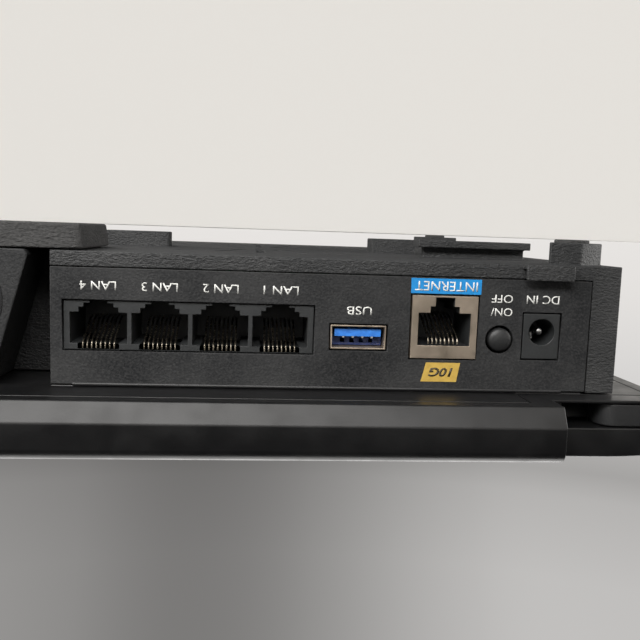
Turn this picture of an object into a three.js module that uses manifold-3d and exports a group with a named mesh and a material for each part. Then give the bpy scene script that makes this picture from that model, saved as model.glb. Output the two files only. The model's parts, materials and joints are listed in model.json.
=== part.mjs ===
// Wireless router with a wide lid over a smaller case, four folding antennas and a rear socket panel.
// Millimetres, +Z up. The router stands on its feet at z = 0, centred in plan, sockets facing +Y.
import * as THREE from 'three';
import { mergeVertices } from 'three/addons/utils/BufferGeometryUtils.js';
import Module from 'manifold-3d';

const wasm = await Module();
wasm.setup();

// ---- driving dimensions ----
const CLEAR = 0.3;               // gap between neighbouring pieces
const OVERLAP = 0.5;             // how far joined shapes run into each other
const PAST = 1;                  // how far a cut runs past the face it opens

// lid
const LID_W = 346.6;
const LID_D = 195;
const LID_T = 12.9;              // rim thickness
const LID_EDGE_R = 2.8;          // upper edge
const LID_CHAMFER = [2.6, 4.5];  // lower edge: depth and height
const LID_CORNER_R = 14;
const LID_CROWN = 5.5;           // rise of the lid's middle over its rim
const LID_CROWN_INSET = 70;
const LID_SKIN = 2.4;
const LID_BAND = 6.5;            // width of the rim's underside, outside the lid base
const LID_BASE_T = 2.15;
const SILL_H = 0.35;             // rib under the lid base along the panels' upper edges
const SIDE_OVERHANG = 16.2;
const REAR_OVERHANG = 16.6;

// case
const FOOT_H = 6.2;
const STRIP_H = 3.6;             // case edge below the panels
const PANEL_W = 128;
const PANEL_H = 27.2;
const PANEL_T = 2.3;
const PANEL_TO_LID = 0.65;
const CASE_WALL = 2.4;
const CASE_FLOOR = 2.4;
const NOTCH_W = 44;              // recess between the two panels, at the rear centre
const NOTCH_DEPTH = 18;
const HOOK = { x: [13, 24.7], out: 3, wall: 1.2 };          // x counts in from the case's end
const RAIL = { x: [13.6, 42.1], y: [31.4, 34.4], bottom: 3 };   // y counts in from the rear
const RAIL_FOOT = { x: [12.5, 44.1], y: [28.9, 36.9], z: [1.4, 3.4] };
const UNDER_BLOCKS = { x: [[105, 119], [23, 42]], y: [10, 20], bottom: 1.7 };
const POST = { r: 3, inner: 48, end: 17.1, front: 14.9, rear: 30.9 };
const VENT = { at: [70, 6], r: [17, 47], count: 24, width: 2 };

// feet
const FOOT_INSET = [9.9, 7.9];   // foot centre to the case's sides
const FOOT_W = 16;
const FOOT_D = 13.2;
const FOOT_TAPER = 5;            // how far the inner side leans outwards
const FOOT_CORNER = [7.4, 6.6];  // outer corner cut off: width and depth
const FOOT_FLAT = 1.2;
const PAD_R = 4.2;
const PAD_T = 2.6;
const PAD_PROUD = 0.8;
const CENTRE_FOOT = { w: 57.6, d: 36, draft: 0.7, corner: 2, y: 62 };

// keystone block between the panels
const BLOCK_LOW_HALF = 17.5;
const BLOCK_TOP_HALF = 8.4;
const BLOCK_CHAMFER = 1.2;
const CAP_R = 11.2;
const CAP_RISE = 12;             // cap centre above the case's underside
const CAP_RECESS = 4;
const CAP_SUNK = 1.6;            // cap rim behind the block's face
const CAP_RIM = 1.6;
const CAP_DISH = 0.6;

// board and what stands on it
const BOARD_T = 1.6;
const BOARD_RISE = 6.1;          // board underside above the case's underside
const BOARD_INSET = 3.6;
const CHIP = { x: [-17, 17], y: [-20, 14], h: 2.2 };
const HEATSINK = { half: 70, y: [-40, 30], base: 3, height: 14, fins: 15, fin: 1.4, edge: 2 };
const SHIELD = { x: 105, y: -20, w: 44, d: 52, h: 3.5, lip: 0.5 };
const LIGHT = { half: 16, z: [25, 28], flange: 3 };

// sockets and buttons; places count from the panel's inner low corner
const NOSE = 0.7;                // how far socket faces sit behind the panel face
const PORT_COUNT = 4;
const PORT_PITCH = 13.97;
const PORT_DEPTH = 17;
// opening levels: half width, and the height above the block's low edge where it starts
const PORT_LEVELS = [[2.25, -1], [3.5, 0.72], [4.7, 1.62], [5.65, 2.45], [6.5, 2.95], [4.6, 10.2]];
const PORT_TOP = 11.4;
const LAN_SIZE = [58.1, 11.9];
const LAN_AT = [31.66, 13.45];
const LAN_BODY_DEPTH = 21;
const CONTACT = { count: 8, pitch: 1.02, width: 0.44, t: 0.3, half: 4.4, bar: 1.3, drop: 5, gap: 0.4 };
const USB_SIZE = [13.3, 5.78];
const USB_AT = [71.22, 14.92];
const USB_DEPTH = 12;
const USB_TONGUE = [11.2, 1.8];
const SHELL_T = 0.4;
const WAN_SIZE = [16, 15.12];
const WAN_AT = [91.8, 12.02];
const WAN_LEVELS = [[2.34, 0.45], [3.54, 2.6], [6.35, 4.15]];
const WAN_TOP = 12;
const WAN_DEPTH = 16;
const WAN_BORE = 13;
const WINDOW_GAP = 0.35;         // panel window round a socket
const DC_SIZE = [9, 11];
const DC_AT = [115.86, 13.79];
const DC_DEPTH = 11;
const DC_BORE = 9;
const DC_BORE_OFFSET = [0.14, -1.08];   // bore centre from the jack face's centre
const DC_BORE_R = 3.2;
const DC_PIN_R = 0.95;
const BUTTON_AT = [105.5, 14.7];
const BUTTON_R = 2.8;
const BUTTON_HOLE_R = 3.4;
const BUTTON_PROUD = 1.3;
const BUTTON_CAP = 6.5;          // cap length behind its crown
const BUTTON_DOME = 1;
const BUTTON_STEM = 7;
const BUTTON_STEM_R = 1.5;
const BUTTON_TRAVEL = 1.6;
const SWITCH = { half: 4.4, wall: 2, bore: 1.9 };
const RESET_AT = [25, 13.6];     // from the vent panel's outer low corner
const RESET_R = 1.5;
const RESET_HOLE_R = 1.9;
const RESET_HEAD = { flange: 1.1, behind: 2.5, sunk: 0.6 };
const RESET_TRAVEL = 0.8;
const RESET_SWITCH = { half: 3, back: 8 };
const LABEL_T = 0.25;
const LABEL_SEAT = 0.5;
const LABEL_GAP = 0.2;
const INTERNET_LABEL = { size: [17.05, 3.6], at: [91.9, 2.2] };
const SPEED_LABEL = [[87.8, 20.6], [96.2, 20.6], [95.4, 25.25], [86.7, 25.25]];
const GRILLE = { start: 18, pitch: 5, count: 17, width: 2.2, low: 5.2, high: 6 };

// antennas
const BLADE_W = 24;
const BLADE_T = 10.4;
const BLADE_REACH = 134;         // hinge axis to tip
const BLADE_WALL = 1.6;
const BLADE_SIDE = 1.8;          // blade edge to lid edge
const BLADE_CORNER_R = 4;
const BLADE_SPLIT = 0.15;        // half the gap between a blade's two shells
const POCKET_GAP = 1.2;          // lid pocket beside a blade
const POCKET_END = 0.8;          // lid pocket behind the hinge barrel
const EAR_BACK = 8;
const BLADE_ROOT = 6;
const ELEMENT = { w: 15, l: 104, t: 1, y: -70 };
const HINGE_BACK = 27.5;         // hinge axis to the lid's end
const HINGE_BASE_W = 16;
const HINGE_TOP = 1.2;           // plate top below the hinge axis
const LUG_W = 9;
const LUG_GAP = 0.4;
const PIN_R = 1.5;
const SLOT_FLOOR = 0.8;          // skin left under a hinge base
const STEP_BACK = 10.1;          // lid edge set back behind an antenna's hinge
const STEP_W = 34.2;

// ---- derived places ----
const CASE_W = LID_W - 2 * SIDE_OVERHANG;
const CASE_D = LID_D - 2 * REAR_OVERHANG;
const REAR = CASE_D / 2;
const Z_STRIP = FOOT_H + STRIP_H;
const Z_PANEL = Z_STRIP + PANEL_H;
const Z_LID = Z_PANEL + PANEL_TO_LID;
const Z_RIM = Z_LID + LID_T;
const Z_CASE = Z_LID - CLEAR;
const Z_SHELF = Z_LID + LID_BASE_T;
const Z_BOARD = FOOT_H + BOARD_RISE;
const BOARD_TOP = Z_BOARD + BOARD_T;
const ON_BOARD = BOARD_TOP + CLEAR;
const NOTCH_BACK = REAR - NOTCH_DEPTH;
const PANEL_X = NOTCH_W / 2;
const PANEL_BACK = REAR - PANEL_T;
const FACE = REAR - NOSE;
const Z_HINGE = Z_RIM - BLADE_T / 2 - 0.05;
const HINGE_SIDE = BLADE_SIDE + BLADE_W / 2;
const POCKET_INNER = BLADE_W / 2 + POCKET_GAP;
const FOOT_X = CASE_W / 2 - FOOT_INSET[0];
const FOOT_Y = REAR - FOOT_INSET[1];
const LABEL_Y = [REAR - LABEL_SEAT + CLEAR, REAR - LABEL_SEAT + CLEAR + LABEL_T];
const LAN_LOW = Z_STRIP + LAN_AT[1] - LAN_SIZE[1] / 2;
const WAN_LOW = Z_STRIP + WAN_AT[1] - WAN_SIZE[1] / 2;
const SWITCH_FRONT = REAR + BUTTON_PROUD - BUTTON_CAP - BUTTON_TRAVEL - 2 * CLEAR;

// ---- materials ----
function finish(color, roughness, metalness = 0) {
  return new THREE.MeshStandardMaterial({ color, roughness, metalness });
}
const CHARCOAL = finish(0x35373a, 0.62);
const BLACK = finish(0x17181a, 0.5);
const GREY = finish(0x4a4c50, 0.55);
const RUBBER = finish(0x242426, 0.9);
const STEEL = finish(0xa0968a, 0.35, 0.9);
const GOLD = finish(0xd0a850, 0.3, 1);
const GREEN = finish(0x1d4a35, 0.6);
const ALUMINIUM = finish(0x8c8f92, 0.45, 0.9);
const BLUE = finish(0x1b87c9, 0.5);
const OCHRE = finish(0xc9a84e, 0.45);
const CLEAR_PLASTIC = finish(0xdfe6ea, 0.25);

// ---- solid helpers ----
function solid(geometry) {
  geometry.deleteAttribute('normal');
  geometry.deleteAttribute('uv');
  const merged = mergeVertices(geometry, 1e-4);
  const mesh = new wasm.Mesh({
    numProp: 3,
    vertProperties: new Float32Array(merged.attributes.position.array),
    triVerts: new Uint32Array(merged.index.array),
  });
  return new wasm.Manifold(mesh);
}

function geometryOf(body) {
  const mesh = body.getMesh();
  const geometry = new THREE.BufferGeometry();
  geometry.setAttribute('position', new THREE.BufferAttribute(mesh.vertProperties, 3));
  geometry.setIndex(new THREE.BufferAttribute(mesh.triVerts, 1));
  geometry.computeVertexNormals();
  return geometry;
}

function joined(bodies) {
  return bodies.reduce((whole, body) => whole.add(body));
}

function box(x0, x1, y0, y1, z0, z1) {
  const geometry = new THREE.BoxGeometry(x1 - x0, y1 - y0, z1 - z0);
  geometry.translate((x0 + x1) / 2, (y0 + y1) / 2, (z0 + z1) / 2);
  return solid(geometry);
}

function mirroredBoxes(x0, x1, y0, y1, z0, z1) {
  return box(x0, x1, y0, y1, z0, z1).add(box(-x1, -x0, y0, y1, z0, z1));
}

// A cylinder between two places on an axis: 'x', 'y' or 'z'.
function rod(axis, radius, from, to, centre, sides = 24) {
  const geometry = new THREE.CylinderGeometry(radius, radius, to - from, sides);
  if (axis === 'x') geometry.rotateZ(-Math.PI / 2);
  if (axis === 'z') geometry.rotateX(Math.PI / 2);
  const middle = (from + to) / 2;
  const at = { x: [middle, ...centre], y: [centre[0], middle, centre[1]], z: [...centre, middle] };
  geometry.translate(...at[axis]);
  return solid(geometry);
}

// An outline in the X-Y plane raised from z0 to z1.
function raised(points, z0, z1) {
  const shape = new THREE.Shape(points.map(([x, y]) => new THREE.Vector2(x, y)));
  const geometry = new THREE.ExtrudeGeometry(shape, { depth: z1 - z0, bevelEnabled: false });
  geometry.translate(0, 0, z0);
  return solid(geometry);
}

// An outline in the X-Z plane, pushed from y0 to y1.
function pushed(points, y0, y1) {
  const shape = new THREE.Shape(points.map(([x, z]) => new THREE.Vector2(x, -z)));
  const geometry = new THREE.ExtrudeGeometry(shape, { depth: y1 - y0, bevelEnabled: false });
  geometry.rotateX(-Math.PI / 2);
  geometry.translate(0, y0, 0);
  return solid(geometry);
}

function roundRect(width, depth, radius, centre = [0, 0], steps = 6) {
  const points = [];
  const r = Math.max(radius, 0.05);
  for (const [sx, sy, start] of [[1, 1, 0], [-1, 1, 1], [-1, -1, 2], [1, -1, 3]]) {
    for (let i = 0; i <= steps; i++) {
      const angle = (start + i / steps) * Math.PI / 2;
      points.push([
        centre[0] + sx * (width / 2 - r) + r * Math.cos(angle),
        centre[1] + sy * (depth / 2 - r) + r * Math.sin(angle),
      ]);
    }
  }
  return points;
}

// A closed skin through a stack of rounded rectangles, each { w, d, r, z }.
function stacked(levels, centre = [0, 0]) {
  const rings = levels.map(({ w, d, r }) => roundRect(w, d, r, centre));
  const count = rings[0].length;
  const points = rings.flatMap((ring, level) => ring.map(([x, y]) => [x, y, levels[level].z]));
  const faces = [];
  for (let level = 0; level + 1 < rings.length; level++) {
    for (let i = 0; i < count; i++) {
      const a = level * count + i;
      const b = level * count + (i + 1) % count;
      faces.push(a, b, b + count, a, b + count, a + count);
    }
  }
  const low = points.length;
  points.push([...centre, levels[0].z], [...centre, levels.at(-1).z]);
  const last = (rings.length - 1) * count;
  for (let i = 0; i < count; i++) {
    const next = (i + 1) % count;
    faces.push(low, next, i, low + 1, last + i, last + next);
  }
  const geometry = new THREE.BufferGeometry();
  geometry.setAttribute('position', new THREE.Float32BufferAttribute(points.flat(), 3));
  geometry.setIndex(faces);
  return solid(geometry);
}

// A turned solid about a line along Y, from its profile's radius and height points.
function turned(profile, [x, z], y0, sides) {
  const geometry = new THREE.LatheGeometry(profile.map(([r, h]) => new THREE.Vector2(r, h)), sides);
  geometry.translate(x, y0, z);
  return solid(geometry);
}

function named(name, body, material) {
  const mesh = new THREE.Mesh(geometryOf(body), material);
  mesh.name = name;
  return mesh;
}

// ---- antenna stations: the hinge's place and the blade's direction ----
const SIDE_X = LID_W / 2 - HINGE_SIDE;
const REAR_Y = LID_D / 2 - HINGE_BACK;
const FRONT_X = LID_W / 2 - HINGE_BACK;
const FRONT_Y = -LID_D / 2 + HINGE_SIDE;
const STATIONS = {
  rear_right: { at: [SIDE_X, REAR_Y], turn: 0, edge: 1 },
  rear_left: { at: [-SIDE_X, REAR_Y], turn: 0, edge: -1 },
  front_right: { at: [FRONT_X, FRONT_Y], turn: -90, edge: -1 },
  front_left: { at: [-FRONT_X, FRONT_Y], turn: 90, edge: 1 },
};

// A box given in a station's own frame, whose +X side (times edge) is the lid's outer side.
function stationBox(station, inner, outer, y0, y1, z0, z1) {
  const [x0, x1] = station.edge > 0 ? [-inner, outer] : [-outer, inner];
  const body = box(x0, x1, y0, y1, z0, z1);
  return body.rotate([0, 0, station.turn]).translate([...station.at, 0]);
}

function stepCut(station, grow) {
  const inner = STEP_W - HINGE_SIDE + grow;
  const y = HINGE_BACK - STEP_BACK - grow;
  return stationBox(station, inner, HINGE_SIDE + PAST, y, HINGE_BACK + PAST, Z_LID - PAST, Z_RIM + LID_CROWN);
}

// The slot that a hinge base slides into, running on into the blade's pocket.
function slotCut(station) {
  const y0 = BLADE_T / 2 + POCKET_END - 2;
  const z = [Z_LID + SLOT_FLOOR, Z_HINGE - HINGE_TOP + CLEAR];
  return stationBox(station, BLADE_W / 2 + 6, HINGE_SIDE + PAST, y0, HINGE_BACK + PAST, ...z);
}

function pocketCut(station) {
  const y = [-BLADE_REACH - POCKET_GAP - CLEAR, BLADE_T / 2 + POCKET_END];
  return stationBox(station, POCKET_INNER, HINGE_SIDE + PAST, ...y, Z_SHELF, Z_RIM + LID_CROWN);
}

const stations = Object.values(STATIONS);

function withoutSteps(body, grow) {
  return stations.reduce((rest, station) => rest.subtract(stepCut(station, grow)), body);
}

// ---- lid ----
function topCover() {
  const levels = [];
  const level = (inset, z) => levels.push({
    w: LID_W - 2 * inset, d: LID_D - 2 * inset, r: LID_CORNER_R - Math.min(inset, LID_CORNER_R / 2), z,
  });
  level(LID_CHAMFER[0], Z_LID);
  level(0, Z_LID + LID_CHAMFER[1]);
  const arcSteps = 4;
  for (let i = 0; i <= arcSteps; i++) {
    const angle = (i / arcSteps) * Math.PI / 2;
    level(LID_EDGE_R * (1 - Math.cos(angle)), Z_RIM - LID_EDGE_R * (1 - Math.sin(angle)));
  }
  const crownSteps = 4;
  for (let i = 1; i <= crownSteps; i++) {
    const share = i / crownSteps;
    const inset = LID_EDGE_R + (LID_CROWN_INSET - LID_EDGE_R) * share;
    level(inset, Z_RIM + LID_CROWN * Math.sin(share * Math.PI / 2));
  }
  const seat = raised(roundRect(LID_W - 2 * LID_BAND, LID_D - 2 * LID_BAND, LID_CORNER_R / 2),
    Z_LID - PAST, Z_SHELF + CLEAR);
  const wall = HINGE_SIDE + POCKET_INNER + LID_SKIN;
  const halfX = LID_W / 2 - wall;
  const cavity = box(-halfX, halfX, -LID_D / 2 + wall, LID_D / 2 - LID_BAND, Z_LID, Z_RIM - LID_SKIN);
  let body = stacked(levels);
  body = body.subtract(withoutSteps(seat, LID_BAND)).subtract(withoutSteps(cavity, LID_BAND));
  for (const station of stations) {
    body = body.subtract(stepCut(station, 0)).subtract(slotCut(station)).subtract(pocketCut(station));
  }
  return body;
}

function lidBase() {
  const inset = LID_BAND + CLEAR;
  const plate = raised(roundRect(LID_W - 2 * inset, LID_D - 2 * inset, LID_CORNER_R / 2), Z_LID, Z_SHELF);
  let body = withoutSteps(plate, inset);
  for (const station of stations) body = body.subtract(slotCut(station));
  const sill = mirroredBoxes(PANEL_X, PANEL_X + PANEL_W - 1, PANEL_BACK + CLEAR, REAR - CLEAR,
    Z_LID - SILL_H, Z_LID + OVERLAP);
  return body.add(sill);
}

// ---- case ----
function caseOutline(inset) {
  const x = CASE_W / 2 - inset;
  const y = CASE_D / 2 - inset;
  const notchX = NOTCH_W / 2 + inset;
  const notchY = NOTCH_BACK - inset;
  return [[-x, -y], [x, -y], [x, y], [notchX, y], [notchX, notchY], [-notchX, notchY], [-notchX, y], [-x, y]];
}

// A foot with a leaning inner side and its outer corner cut off, mirrored by the signs of its place.
function footBoss(x, y) {
  const [w, d] = [FOOT_W / 2, FOOT_D / 2];
  const cut = [w - FOOT_CORNER[0], d - FOOT_CORNER[1]];
  const corners = [
    [FOOT_TAPER - w, -d], [w, -d], [w, cut[1]], [cut[0], d - FOOT_FLAT / 3], [cut[0] - FOOT_FLAT, d], [-w, d],
  ];
  const outline = corners.map(([px, py]) => [x + Math.sign(x) * px, y + Math.sign(y) * py]);
  const seat = rod('z', PAD_R + CLEAR, 0, PAD_T + CLEAR, [x, y]);
  return raised(outline, PAD_PROUD, FOOT_H + OVERLAP).subtract(seat);
}

function ventSlots(side) {
  const slots = [];
  for (let i = 0; i < VENT.count; i++) {
    const slot = box(...VENT.r, -VENT.width / 2, VENT.width / 2, FOOT_H - PAST, FOOT_H + CASE_FLOOR + PAST);
    slots.push(slot.rotate([0, 0, i * 360 / VENT.count]).translate([side * VENT.at[0], VENT.at[1], 0]));
  }
  return joined(slots);
}

// A pair of blocks whose X and Y count in from the case's ends and rear.
function cornerBlocks(x, y, z0, z1) {
  return mirroredBoxes(CASE_W / 2 - x[1], CASE_W / 2 - x[0], REAR - y[1], REAR - y[0], z0, z1);
}

function lowerCase() {
  const z = [FOOT_H + CASE_FLOOR, Z_CASE + PAST];
  let body = raised(caseOutline(0), FOOT_H, Z_CASE).subtract(raised(caseOutline(CASE_WALL), ...z));
  body = body.subtract(mirroredBoxes(PANEL_X - PAST, PANEL_X + PANEL_W, PANEL_BACK - CLEAR, REAR + PAST,
    Z_STRIP, Z_CASE + PAST));
  body = body.subtract(ventSlots(1)).subtract(ventSlots(-1));
  body = body.subtract(box(-LIGHT.half, LIGHT.half, -REAR - PAST, -REAR + CASE_WALL + PAST, ...LIGHT.z));
  const under = FOOT_H + OVERLAP;
  const hook = HOOK.x.map((inset) => CASE_W / 2 - inset).reverse();
  const additions = [
    cornerBlocks(RAIL.x, RAIL.y, RAIL.bottom, under),
    cornerBlocks(RAIL_FOOT.x, RAIL_FOOT.y, ...RAIL_FOOT.z),
    box(...hook, REAR - OVERLAP, REAR + HOOK.out, FOOT_H, FOOT_H + HOOK.wall),
    box(...hook, REAR + HOOK.out - HOOK.wall, REAR + HOOK.out, FOOT_H, Z_STRIP),
  ];
  for (const x of UNDER_BLOCKS.x) {
    additions.push(mirroredBoxes(...x, ...UNDER_BLOCKS.y, UNDER_BLOCKS.bottom, under));
  }
  for (const x of [-1, 1]) {
    for (const y of [-1, 1]) additions.push(footBoss(x * FOOT_X, y * FOOT_Y));
    for (const postX of [POST.inner, CASE_W / 2 - POST.end]) {
      for (const postY of [POST.front - REAR, REAR - POST.rear]) {
        additions.push(rod('z', POST.r, FOOT_H + PAST, Z_BOARD - CLEAR, [x * postX, postY], 12));
      }
    }
  }
  return joined([body, ...additions]);
}

function footPad(x, y) {
  return rod('z', PAD_R, 0, PAD_T, [x * FOOT_X, y * FOOT_Y], 32);
}

function centreFoot() {
  const { w, d, draft, corner: r, y } = CENTRE_FOOT;
  return stacked([{ w: w - 2 * draft, d: d - 2 * draft, r, z: 0 }, { w, d, r, z: FOOT_H - CLEAR }], [0, y]);
}

// ---- rear panels ----
// Places on the right panel count from its inner low corner.
function onPanel([x, z]) {
  return [PANEL_X + x, Z_STRIP + z];
}

function window(size, at, grow, y0, y1) {
  const [x, z] = onPanel(at);
  const half = [size[0] / 2 + grow, size[1] / 2 + grow];
  return box(x - half[0], x + half[0], y0, y1, z - half[1], z + half[1]);
}

function speedLabel(grow, y0, y1) {
  const centreX = SPEED_LABEL.reduce((sum, [x]) => sum + x, 0) / 4;
  const centreZ = SPEED_LABEL.reduce((sum, [, z]) => sum + z, 0) / 4;
  const points = SPEED_LABEL.map(([x, z]) => {
    const spread = [x + Math.sign(x - centreX) * grow, z + Math.sign(z - centreZ) * grow];
    return onPanel(spread);
  });
  return pushed(points, y0, y1);
}

function panelBlank(side) {
  const x = [PANEL_X, PANEL_X + PANEL_W - CLEAR];
  const [x0, x1] = side > 0 ? x : [-x[1], -x[0]];
  return box(x0, x1, PANEL_BACK, REAR, Z_STRIP + 0.15, Z_PANEL);
}

function ioPanel() {
  const y = [PANEL_BACK - PAST, REAR + PAST];
  let body = panelBlank(1).subtract(window(LAN_SIZE, LAN_AT, 0, ...y));
  for (const [size, at] of [[USB_SIZE, USB_AT], [WAN_SIZE, WAN_AT], [DC_SIZE, DC_AT]]) {
    body = body.subtract(window(size, at, WINDOW_GAP, ...y));
  }
  body = body.subtract(rod('y', BUTTON_HOLE_R, ...y, onPanel(BUTTON_AT), 32));
  const seat = [REAR - LABEL_SEAT, REAR + PAST];
  body = body.subtract(window(INTERNET_LABEL.size, INTERNET_LABEL.at, LABEL_GAP, ...seat));
  return body.subtract(speedLabel(LABEL_GAP, ...seat));
}

function resetPlace() {
  return [-(PANEL_X + PANEL_W - RESET_AT[0]), Z_STRIP + RESET_AT[1]];
}

function ventPanel() {
  const y = [PANEL_BACK - PAST, REAR + PAST];
  let body = panelBlank(-1);
  for (let i = 0; i < GRILLE.count; i++) {
    const x = -(PANEL_X + GRILLE.start + i * GRILLE.pitch);
    body = body.subtract(box(x - GRILLE.width, x, ...y, Z_STRIP + GRILLE.low, Z_PANEL - GRILLE.high));
  }
  return body.subtract(rod('y', RESET_HOLE_R, ...y, resetPlace()));
}

// ---- centre block ----
function centreBlock() {
  const low = BLOCK_LOW_HALF;
  const slope = (low - BLOCK_TOP_HALF) / (Z_CASE - FOOT_H) * BLOCK_CHAMFER;
  const right = [
    [low - BLOCK_CHAMFER, FOOT_H], [low - slope, FOOT_H + BLOCK_CHAMFER], [BLOCK_TOP_HALF, Z_CASE],
  ];
  const left = right.map(([x, z]) => [-x, z]).reverse();
  const recess = rod('y', CAP_R + CLEAR, REAR - CAP_RECESS, REAR + PAST, [0, FOOT_H + CAP_RISE], 48);
  return pushed([...right, ...left], NOTCH_BACK + CLEAR, REAR).subtract(recess);
}

function centreCap() {
  const centre = [0, FOOT_H + CAP_RISE];
  const front = REAR - CAP_SUNK;
  const disc = rod('y', CAP_R, REAR - CAP_RECESS + CLEAR, front, centre, 48);
  return disc.subtract(rod('y', CAP_R - CAP_RIM, front - CAP_DISH, front + PAST, centre, 48));
}

// ---- sockets ----
// A stepped opening about its centre line, from its levels' half widths and heights.
function steppedOutline(levels, topZ, x, lowZ) {
  const right = levels.flatMap(([half, z], i) => {
    const end = i + 1 < levels.length ? levels[i + 1][1] : topZ;
    return [[half, z], [half, end]];
  });
  const left = right.map(([half, z]) => [-half, z]).reverse();
  return [...right, ...left].map(([px, pz]) => [px + x, pz + lowZ]);
}

function portX(index) {
  return PANEL_X + LAN_AT[0] + (index - (PORT_COUNT - 1) / 2) * PORT_PITCH;
}

function lanHousing() {
  const [x, z] = onPanel(LAN_AT);
  const half = LAN_SIZE[0] / 2;
  const body = box(x - half + 0.1, x + half + 0.8, PANEL_BACK - LAN_BODY_DEPTH, PANEL_BACK - CLEAR,
    ON_BOARD, z + LAN_SIZE[1] / 2 + 1);
  let housing = body.add(window(LAN_SIZE, LAN_AT, -CLEAR, PANEL_BACK - PAST, FACE));
  for (let i = 0; i < PORT_COUNT; i++) {
    const outline = steppedOutline(PORT_LEVELS, PORT_TOP, portX(i), LAN_LOW);
    housing = housing.subtract(pushed(outline, FACE - PORT_DEPTH, FACE + PAST));
  }
  return housing;
}

// Spring wires that rise from a bar at the socket's back towards its mouth.
function contacts(x, topZ, back, length, lean) {
  const { count, pitch, width, t, half, bar, drop } = CONTACT;
  const pieces = [box(x - half, x + half, back, back + bar, topZ - drop, topZ)];
  for (let i = 0; i < count; i++) {
    const wire = box(-width / 2, width / 2, 0, length, -t, 0);
    const at = [x + (i - (count - 1) / 2) * pitch, back + bar / 2, topZ - drop + 0.8];
    pieces.push(wire.rotate([lean, 0, 0]).translate(at));
  }
  return joined(pieces);
}

function lanContacts(index) {
  const topZ = LAN_LOW + PORT_LEVELS.at(-1)[1] - CONTACT.gap;
  return contacts(portX(index), topZ, FACE - PORT_DEPTH + CLEAR, 12.4, 16);
}

function wanContacts() {
  const topZ = WAN_LOW + WAN_TOP - CONTACT.gap / 2;
  return contacts(onPanel(WAN_AT)[0], topZ, PANEL_BACK - WAN_BORE + CONTACT.gap, 10.4, 18);
}

function wanShell() {
  const y = [PANEL_BACK - WAN_DEPTH, REAR + 0.3];
  const shell = window(WAN_SIZE, WAN_AT, 0, ...y);
  const inner = window(WAN_SIZE, WAN_AT, -SHELL_T, y[0] + SHELL_T, y[1] - SHELL_T);
  const outline = steppedOutline(WAN_LEVELS, WAN_TOP, onPanel(WAN_AT)[0], WAN_LOW);
  return shell.subtract(inner).subtract(pushed(outline, REAR - PAST, REAR + PAST));
}

function wanInsert() {
  const y = [PANEL_BACK - WAN_DEPTH + 2 * SHELL_T, REAR - SHELL_T - 0.1];
  const outline = steppedOutline(WAN_LEVELS, WAN_TOP + 0.1, onPanel(WAN_AT)[0], WAN_LOW);
  const body = window(WAN_SIZE, WAN_AT, -SHELL_T - WINDOW_GAP, ...y);
  return body.subtract(pushed(outline, PANEL_BACK - WAN_BORE, REAR + PAST));
}

function usbShell() {
  const y = [PANEL_BACK - USB_DEPTH, REAR - 0.2];
  const bore = window(USB_SIZE, USB_AT, -SHELL_T, y[0] + SHELL_T, y[1] + PAST);
  return window(USB_SIZE, USB_AT, 0, ...y).subtract(bore);
}

function usbTongue() {
  const [x, z] = onPanel(USB_AT);
  const half = [USB_SIZE[0] / 2 - SHELL_T - CLEAR, USB_SIZE[1] / 2 - SHELL_T - CLEAR];
  const back = PANEL_BACK - USB_DEPTH + SHELL_T + CLEAR;
  const base = box(x - half[0], x + half[0], back, back + 2, z - half[1], z + half[1]);
  const [width, thickness] = USB_TONGUE;
  const low = z - 1.9;
  return base.add(box(x - width / 2, x + width / 2, back, REAR - 1.2, low, low + thickness));
}

function usbRiser() {
  const [x, z] = onPanel(USB_AT);
  const half = USB_SIZE[0] / 2 - CLEAR;
  const top = z - USB_SIZE[1] / 2 - CLEAR;
  return box(x - half, x + half, PANEL_BACK - USB_DEPTH, PANEL_BACK - PAST, ON_BOARD, top);
}

function dcBore() {
  const [x, z] = onPanel(DC_AT);
  return [x + DC_BORE_OFFSET[0], z + DC_BORE_OFFSET[1]];
}

function dcJack() {
  const [x, z] = onPanel(DC_AT);
  const half = DC_SIZE[0] / 2;
  const body = box(x - half, x + half, PANEL_BACK - DC_DEPTH, REAR - 0.2, ON_BOARD, z + DC_SIZE[1] / 2);
  const low = box(x - half - PAST, x + half + PAST, PANEL_BACK - CLEAR, REAR + PAST,
    ON_BOARD - PAST, z - DC_SIZE[1] / 2);
  return body.subtract(low).subtract(rod('y', DC_BORE_R, PANEL_BACK - DC_BORE, REAR + PAST, dcBore(), 32));
}

function dcPin() {
  const back = PANEL_BACK - DC_BORE + CLEAR;
  const tip = REAR - 1.6 - back;
  const profile = [[0, 0], [DC_PIN_R, 0], [DC_PIN_R, tip - 0.7], [DC_PIN_R * 0.7, tip - 0.2], [0, tip]];
  return turned(profile, dcBore(), back, 20);
}

function switchBody() {
  const [x, z] = onPanel(BUTTON_AT);
  const bore = SWITCH_FRONT - BUTTON_STEM - CLEAR;
  const body = box(x - SWITCH.half, x + SWITCH.half, bore - SWITCH.wall, SWITCH_FRONT,
    ON_BOARD, z + SWITCH.half);
  return body.subtract(rod('y', SWITCH.bore, bore, SWITCH_FRONT + PAST, [x, z]));
}

function powerButton() {
  const length = BUTTON_STEM + BUTTON_CAP;
  const profile = [[0, 0], [BUTTON_STEM_R, 0], [BUTTON_STEM_R, BUTTON_STEM], [BUTTON_R, BUTTON_STEM]];
  const domeSteps = 6;
  for (let i = 0; i < domeSteps; i++) {
    const angle = (i / domeSteps) * Math.PI / 2;
    profile.push([BUTTON_R * Math.cos(angle), length - BUTTON_DOME * (1 - Math.sin(angle))]);
  }
  profile.push([0, length]);
  return turned(profile, onPanel(BUTTON_AT), REAR + BUTTON_PROUD - length, 32);
}

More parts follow.
